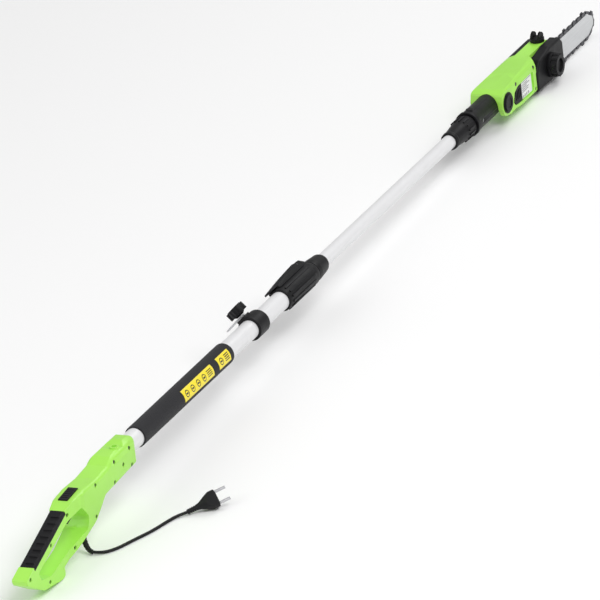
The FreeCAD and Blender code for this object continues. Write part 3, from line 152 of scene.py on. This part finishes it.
def moulded(name, colour, roughness, grain, depth, wear, coat=0.0, specular=0.5):
    """Injection moulded plastic: fine grain, slight colour drift and rubbed edges."""
    made = Shader(name, colour, roughness, coat=coat, specular=specular)
    drift = made.mix(made.ramp(made.noise(9, 2), 0.35, 0.65), tone(colour, 0.95), tone(colour, 1.04))
    made.paint(made.edge_wear(drift, tone(colour, wear), 0.6))
    made.gloss(made.noise(60, 3), roughness - 0.05, roughness + 0.07)
    made.bump(made.noise(grain, 2, roughness=0.7), 0.25, depth)
    return made.material


def steel(name, colour, roughness, stretch, scale=300.0):
    """Metal with a brushed direction set by how its noise is stretched."""
    made = Shader(name, colour, roughness, metallic=1.0)
    brush = made.noise(scale, 4, stretch, 0.6)
    made.paint(made.mix(brush, tone(colour, 0.86), tone(colour, 1.12)))
    made.gloss(made.noise(40, 3, stretch), roughness - 0.06, roughness + 0.10)
    made.bump(brush, 0.2, 0.00004)
    return made.material


def tube_paint():
    """White powder coat with orange peel and a few faint scuffs along the tube."""
    base = (0.76, 0.76, 0.77)
    made = Shader("white_powder_coat", base, 0.36, coat=0.15)
    scuff = made.ramp(made.noise(220, 3, (0.04, 1, 1)), 0.66, 0.80)
    made.paint(made.mix(scuff, base, (0.62, 0.62, 0.63)))
    made.gloss(made.noise(35, 2), 0.32, 0.44)
    made.bump(made.noise(700, 2), 0.12, 0.0003)
    return made.material


def foam_rubber():
    """Closed-cell foam: small open pits, painted darker inside as shade, over a soft, uneven skin."""
    base = (0.016, 0.016, 0.018)
    made = Shader("foam_rubber", base, 0.85, specular=0.2)
    cells = made.add("ShaderNodeTexVoronoi", Scale=900.0)
    made.link(made.place(), cells.inputs["Vector"])
    pit_depth_and_shade = made.ramp(cells.outputs["Distance"], 0.0, 0.55)
    # Pit centres are painted darker as shade inside the pits; the same mask also gives the pits their bump
    # depth.
    made.paint(made.mix(pit_depth_and_shade, tone(base, 0.55), tone(base, 1.5)))
    made.bump(pit_depth_and_shade, 0.55, 0.0004)
    made.bump(made.noise(120, 4), 0.25, 0.0006)
    made.bsdf.inputs["Sheen Weight"].default_value = 0.06
    made.bsdf.inputs["Sheen Roughness"].default_value = 0.6
    return made.material


def rubber(name, base, roughness):
    """Soft dull rubber with a fine grain and rubbed edges."""
    made = Shader(name, base, roughness, specular=0.25)
    made.paint(made.edge_wear(made.mix(made.noise(14, 3), tone(base, 0.85), tone(base, 1.25)),
                              tone(base, 2.2), 0.5))
    made.gloss(made.noise(80, 3), roughness - 0.06, roughness + 0.08)
    made.bump(made.noise(1600, 2), 0.25, 0.00012)
    return made.material


GREEN = (0.385, 0.820, 0.095)
BLACK = (0.006, 0.006, 0.007)
YELLOW = (0.93, 0.77, 0.03)
INK = (0.02, 0.02, 0.02)
PLATE_INK = (0.10, 0.10, 0.11)

looks = {
    "green": moulded("green_shell", GREEN, 0.36, 1500, 0.00008, 1.12, coat=0.1),
    "black": moulded("black_shell", BLACK, 0.46, 1300, 0.00016, 4.0, specular=0.22),
    "soft_black": rubber("soft_grip", (0.008, 0.008, 0.009), 0.58),
    "foam": foam_rubber(),
    "white_tube": tube_paint(),
    "yellow_label": moulded("label_film", YELLOW, 0.35, 900, 0.00003, 1.0),
    "plate_white": moulded("plate_film", (0.86, 0.86, 0.86), 0.3, 900, 0.00003, 1.0),
    "zinc_steel": steel("zinc_steel", (0.60, 0.60, 0.62), 0.34, (1, 1, 1)),
    "dark_steel": steel("dark_steel", (0.10, 0.10, 0.11), 0.38, (1, 1, 1)),
    "bar_steel": steel("bar_steel", (0.66, 0.67, 0.68), 0.40, (0.05, 1, 1), 700.0),
    "lamination": steel("lamination", (0.22, 0.21, 0.21), 0.5, (1, 0.3, 0.3), 1600.0),
    "nylon": moulded("nylon", (0.75, 0.73, 0.66), 0.5, 900, 0.0001, 1.05),
    "cord_black": rubber("cord_jacket", (0.009, 0.009, 0.010), 0.5),
}

slots = {part["node"]: part["material_slot"] for part in frame["record"]["subparts"]}
EDGE_SOFTENING = {
    "handle_shell_right": 0.5, "handle_shell_left": 0.5, "head_shell_right": 0.5, "head_shell_left": 0.5,
    "gear_case": 0.5, "sprocket_cover": 0.5, "cover_knob": 0.6, "oil_cap": 0.5, "strap_knob": 0.6,
    "lock_sleeve": 0.35, "clamp_lever": 0.6, "coupling_nut": 0.4, "grip_overmould": 0.6, "trigger": 0.5,
    "lock_off_button": 0.4, "plug_body": 0.5, "joint_body": 0.4, "vent_grille_right": 0.3,
    "vent_grille_left": 0.3,
}


def dress(name, material):
    """Gives a CAD node its material, and rounds its sharp edges where that shows."""
    piece = nodes[name]
    piece.data.materials.clear()
    piece.data.materials.append(material)
    if name in EDGE_SOFTENING:
        weld = piece.modifiers.new("weld", "WELD")
        weld.merge_threshold = 0.00001
        bevel = piece.modifiers.new("soft_edges", "BEVEL")
        bevel.width = EDGE_SOFTENING[name] * MM
        bevel.segments = 2
        bevel.limit_method = "ANGLE"
        bevel.angle_limit = math.radians(38)
        bevel.harden_normals = False


for name in nodes:
    dress(name, looks[slots[name]])
# The lever's pin is given dark steel as painted shade, since it sits in shade in its hole; it has an oiled
# end.
dress("lever_pin", looks["dark_steel"])


# ---------------------------------------------------------------- mesh helpers
POLE_BODY = "handle_and_pole"


def mesh_piece(name, build, material):
    """Makes a smooth piece from a bmesh that build() fills, and lets it ride on the pole's body."""
    mesh = bpy.data.meshes.new(name)
    work = bmesh.new()
    build(work)
    bmesh.ops.recalc_face_normals(work, faces=work.faces)
    work.to_mesh(mesh)
    work.free()
    for polygon in mesh.polygons:
        polygon.use_smooth = True
    mesh.materials.append(material)
    piece = bpy.data.objects.new(name, mesh)
    bpy.context.scene.collection.objects.link(piece)
    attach(piece, POLE_BODY)
    return piece


def loft(work, rings, close_ends=True):
    """Skins closed rings of points, each with the same count."""
    rows = [[work.verts.new(point) for point in ring] for ring in rings]
    for first, second in zip(rows, rows[1:]):
        count = len(first)
        for place in range(count):
            onward = (place + 1) % count
            work.faces.new((first[place], first[onward], second[onward], second[place]))
    if close_ends:
        work.faces.new(rows[0])
        work.faces.new(list(reversed(rows[-1])))


# ---------------------------------------------------------------- foam sleeve
FOAM_REAR, FOAM_LENGTH, FOAM_RADIUS = 40.0, 340.0, 18.5
SKIN_RADIUS = FOAM_RADIUS - 0.07
# The rounded lip, from the bore outwards: how far from the end, and the radius there.
LIP_LENGTH = 3.2
LIP = [(0.3, 16.05), (0.05, 16.6), (0.0, 17.2), (0.25, 17.8), (0.9, 18.2), (1.9, 18.36),
       (LIP_LENGTH, SKIN_RADIUS)]
# Only the skin outside this radius is uneven, by this much for each wave.
EVEN_RADIUS, UNEVENNESS = 18.3, 0.02


def foam_mesh(work):
    """A thick sleeve with rounded lips and a slightly uneven skin, wound round the pole."""
    random.seed(11)
    around, steps = 96, 170
    waves = [(random.uniform(20, 90), random.uniform(0, 6.28), random.choice((1, 2, 3, 5))) for _ in range(6)]
    straight = FOAM_LENGTH - 2 * LIP_LENGTH
    middle = [(LIP_LENGTH + straight * n / steps, SKIN_RADIUS) for n in range(1, steps)]
    outline = LIP + middle + [(FOAM_LENGTH - x, r) for x, r in reversed(LIP)]
    rings = []
    for x, radius in outline:
        ring = []
        for place in range(around):
            turn = 2 * math.pi * place / around
            swell = sum(math.sin(x / pitch * 6.28 + phase + lobes * turn) for pitch, phase, lobes in waves)
            r = radius + UNEVENNESS * swell if radius > EVEN_RADIUS else radius
            r = min(r, FOAM_RADIUS)
            ring.append(pole_point(FOAM_REAR + x, r * math.cos(turn), r * math.sin(turn)))
        rings.append(ring)
    loft(work, rings, close_ends=False)


foam = mesh_piece("foam_grip", foam_mesh, looks["foam"])
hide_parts("foam_sleeve")


# ---------------------------------------------------------------- labels, with plain dots and bars
# The way the labels face round the pole, how far they reach to each side, and the radius of the film.
LABEL_FACING, LABEL_SPREAD = math.radians(158), math.radians(32)
LABEL_RADIUS = FOAM_RADIUS + 0.2


def film_on_foam(start, length):
    """Gives the builder of a film that wraps the foam from a place along the pole."""
    def build(work):
        columns, rows = 48, 24
        grid = []
        uv = work.loops.layers.uv.new("UVMap")
        for column in range(columns + 1):
            line = []
            for row in range(rows + 1):
                u, v = column / columns, row / rows
                turn = LABEL_FACING + LABEL_SPREAD * (2 * v - 1)
                place = pole_point(start + length * u, LABEL_RADIUS * math.cos(turn),
                                   LABEL_RADIUS * math.sin(turn))
                line.append((work.verts.new(place), (u, v)))
            grid.append(line)
        for column in range(columns):
            for row in range(rows):
                corners = [grid[column][row], grid[column + 1][row], grid[column + 1][row + 1],
                           grid[column][row + 1]]
                face = work.faces.new([vertex for vertex, _ in corners])
                for loop, (_, spot) in zip(face.loops, corners):
                    loop[uv].uv = spot
    return build


def printed_film(name, base, ink, signs, bars, aspect, kind="UV", upward=1):
    """A film printed with ring signs and short bars, and nothing to read. upward picks the axis of v."""
    made = Shader(name, base, 0.34)
    place = made.place(kind=kind)
    split = made.add("ShaderNodeSeparateXYZ")
    made.link(place, split.inputs[0])

    def math_node(operation, first, second=None):
        node = made.add("ShaderNodeMath", operation=operation)
        for socket, value in zip(node.inputs, (first, second)):
            if value is None:
                continue
            if isinstance(value, (int, float)):
                socket.default_value = value
            else:
                made.link(value, socket)
        return node.outputs[0]

    u, v = split.outputs[0], split.outputs[upward]
    masks = []
    for centre_u, centre_v, outer, inner in signs:
        across = math_node("MULTIPLY", math_node("SUBTRACT", u, centre_u), aspect)
        up = math_node("SUBTRACT", v, centre_v)
        reach = math_node("SQRT", math_node("ADD", math_node("MULTIPLY", across, across),
                                            math_node("MULTIPLY", up, up)))
        ring = math_node("MULTIPLY", math_node("LESS_THAN", reach, outer),
                         math_node("GREATER_THAN", reach, inner))
        bar = math_node("MULTIPLY", math_node("LESS_THAN", math_node("ABSOLUTE", up), outer * 0.22),
                        math_node("LESS_THAN", math_node("ABSOLUTE", across), outer * 0.55))
        masks += [ring, bar]
    for left, right, low, high in bars:
        wide = math_node("MULTIPLY", math_node("GREATER_THAN", u, left), math_node("LESS_THAN", u, right))
        tall = math_node("MULTIPLY", math_node("GREATER_THAN", v, low), math_node("LESS_THAN", v, high))
        masks.append(math_node("MULTIPLY", wide, tall))
    total = masks[0]
    for mask in masks[1:]:
        total = math_node("MAXIMUM", total, mask)
    made.paint(made.mix(total, base, ink))
    made.gloss(made.noise(50, 2), 0.3, 0.42)
    made.bump(made.noise(300, 2), 0.1, 0.0001)
    return made.material


long_signs = [(0.12 + 0.19 * n, 0.5, 0.30, 0.22) for n in range(4)]
long_bars = [(0.80, 0.95, 0.22 + 0.15 * n, 0.29 + 0.15 * n) for n in range(4)]
short_signs = [(0.28, 0.5, 0.30, 0.22)]
short_bars = [(0.56, 0.90, 0.20 + 0.16 * n, 0.28 + 0.16 * n) for n in range(4)]
LABELS = [
    ("label_film_long", "sleeve_label_long", FOAM_REAR + 150, 112.0, long_signs, long_bars),
    ("label_film_short", "sleeve_label_short", FOAM_REAR + 282, 44.0, short_signs, short_bars),
]
plate_signs = [(0.14 + 0.155 * n, 0.16, 0.075, 0.050) for n in range(4)]
plate_bars = [(0.08, 0.92, 0.90, 0.93)]
plate_bars += [(0.08, right, 0.78 - 0.10 * n, 0.82 - 0.10 * n)
               for n, right in enumerate((0.62, 0.80, 0.54, 0.72, 0.66))]
plate_film = printed_film("rating_film", (0.84, 0.84, 0.84), PLATE_INK, plate_signs, plate_bars, 1.35,
                          kind="Generated", upward=2)
dress("rating_plate", plate_film)
LABEL_WIDTH = 2 * LABEL_SPREAD * LABEL_RADIUS
for name, node, start, length, signs, bars in LABELS:
    film = printed_film(name, YELLOW, INK, signs, bars, length / LABEL_WIDTH)
    piece = mesh_piece(name, film_on_foam(start, length), film)
    thick = piece.modifiers.new("thickness", "SOLIDIFY")
    thick.thickness = 0.15 * MM
    thick.offset = 0
    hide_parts(node)


# ---------------------------------------------------------------- supply cord
CORD_RADIUS, CORD_LENGTH = 0.0025, 0.1894
FLOOR_START = Vector((POLE_START.x, POLE_START.y, 0))
CORD_ROUTE = [
    (-0.1935, -0.023, 0.0052), (-0.191, -0.037, 0.0030), (-0.170, -0.055, 0.0027), (-0.138, -0.0675, 0.0027),
    (-0.105, -0.083, 0.0027), (-0.066, -0.094, 0.0028), (-0.048, -0.101, 0.0036), (-0.036, -0.114, 0.0054),
]
RELIEF_CURVE = [(-0.178, 0, 0.040), (-0.178, 0, 0.026), (-0.195, -0.012, 0.006)]
route = [Vector(point) + FLOOR_START for point in CORD_ROUTE]
# The relief: its radius at the handle, how much it narrows and how deep its grooves are, in metres.
# The pitch of the grooves and the stretch that has them are shares of its length.
RELIEF_RADIUS, RELIEF_TAPER, GROOVE_DEPTH = 0.0056, 0.0018, 0.0005
GROOVE_PITCH, GROOVES_FROM, GROOVES_TO = 0.105, 0.30, 0.93


def cord_piece():
    """The lead: one round wire along the route."""
    curve = bpy.data.curves.new("mains_lead", "CURVE")
    curve.dimensions = "3D"
    curve.bevel_depth = CORD_RADIUS
    curve.bevel_resolution = 6
    curve.resolution_u = 24
    curve.use_fill_caps = True
    spline = curve.splines.new("NURBS")
    spline.points.add(len(route) - 1)
    for point, place in zip(spline.points, route):
        point.co = (*place, 1)
    spline.order_u = 3
    spline.use_endpoint_u = True
    curve.materials.append(looks["cord_black"])
    piece = bpy.data.objects.new("mains_lead", curve)
    bpy.context.scene.collection.objects.link(piece)
    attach(piece, POLE_BODY)
    return piece


def relief_mesh(work):
    """Bent tapered sleeve with ribs, from the handle's underside to the cord."""
    a, b, c = [Vector(point) + FLOOR_START for point in RELIEF_CURVE]
    d = route[0]
    steps, around = 60, 28
    rings = []
    for step in range(steps + 1):
        t = step / steps
        point = a * (1 - t) ** 3 + b * 3 * t * (1 - t) ** 2 + c * 3 * t ** 2 * (1 - t) + d * t ** 3
        slope = (b - a) * 3 * (1 - t) ** 2 + (c - b) * 6 * t * (1 - t) + (d - c) * 3 * t ** 2
        ahead = slope.normalized()
        side = ahead.cross(Vector((1, 0, 0.1))).normalized()
        other = ahead.cross(side)
        radius = RELIEF_RADIUS - RELIEF_TAPER * t
        if GROOVES_FROM < t < GROOVES_TO:
            wave = 0.5 - 0.5 * math.cos(2 * math.pi * (t - GROOVES_FROM) / GROOVE_PITCH)
            radius -= GROOVE_DEPTH * wave
        ring = []
        for place in range(around):
            turn = 2 * math.pi * place / around
            ring.append(point + side * (radius * math.cos(turn)) + other * (radius * math.sin(turn)))
        rings.append(ring)
    loft(work, rings)


relief = mesh_piece("relief_sleeve", relief_mesh, looks["cord_black"])
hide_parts("strain_relief")
cord = cord_piece()
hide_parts("supply_cord")


# ---------------------------------------------------------------- floor, light and camera
def stage_material():
    """Matt white paper for the floor."""
    made = Shader("stage_paper", (0.96, 0.96, 0.96), 0.9, specular=0.1)
    made.bump(made.noise(30, 2), 0.02, 0.001)
    return made.material


floor_mesh = bpy.data.meshes.new("floor")
floor_mesh.from_pydata([(-40, -40, 0), (40, -40, 0), (40, 40, 0), (-40, 40, 0)], [], [(0, 1, 2, 3)])
floor_mesh.materials.append(stage_material())
floor = bpy.data.objects.new("floor", floor_mesh)
bpy.context.scene.collection.objects.link(floor)


def area_light(name, place, target, width, power):
    """A round soft light that faces the target."""
    data = bpy.data.lights.new(name, "AREA")
    data.shape = "DISK"
    data.size = width
    data.energy = power
    lamp = bpy.data.objects.new(name, data)
    lamp.location = place
    lamp.rotation_euler = (Vector(target) - Vector(place)).to_track_quat("-Z", "Y").to_euler()
    bpy.context.scene.collection.objects.link(lamp)


area_light("key", (-1.6, -3.0, 4.2), (0, 0, 0), 3.0, 122)
area_light("fill", (-3.6, 2.2, 2.6), (0, 0, 0), 3.0, 45)
area_light("far", (3.0, -1.0, 3.4), (0.6, 0, 0), 2.6, 52)

world = bpy.data.worlds.new("studio")
world.use_nodes = True
world.node_tree.nodes["Background"].inputs["Color"].default_value = (1, 1, 1, 1)
world.node_tree.nodes["Background"].inputs["Strength"].default_value = 0.47
bpy.context.scene.world = world
bpy.context.scene.view_settings.view_transform = "Standard"

# The camera's axes in the row frame: azimuth and elevation of the line back to it, and its roll.
AZIMUTH, ELEVATION, ROLL = math.radians(-62.9058), math.radians(23.7189), math.radians(-7.7010)
CAMERA_PLACE = (-13.34043, -6.78823, 6.59113)
LENS = 600.0

camera_data = bpy.data.cameras.new("camera")
camera_data.lens = LENS
camera_data.sensor_width = 36.0
camera_data.clip_end = 200.0
camera = bpy.data.objects.new("camera", camera_data)
back = Vector((math.sin(AZIMUTH) * math.cos(ELEVATION), -math.cos(AZIMUTH) * math.cos(ELEVATION),
               math.sin(ELEVATION)))
level = (-back).to_track_quat("-Z", "Y")
camera.rotation_mode = "QUATERNION"
camera.rotation_quaternion = level @ Matrix.Rotation(ROLL, 3, "Z").to_quaternion()
camera.location = CAMERA_PLACE
bpy.context.scene.collection.objects.link(camera)
bpy.context.scene.camera = camera
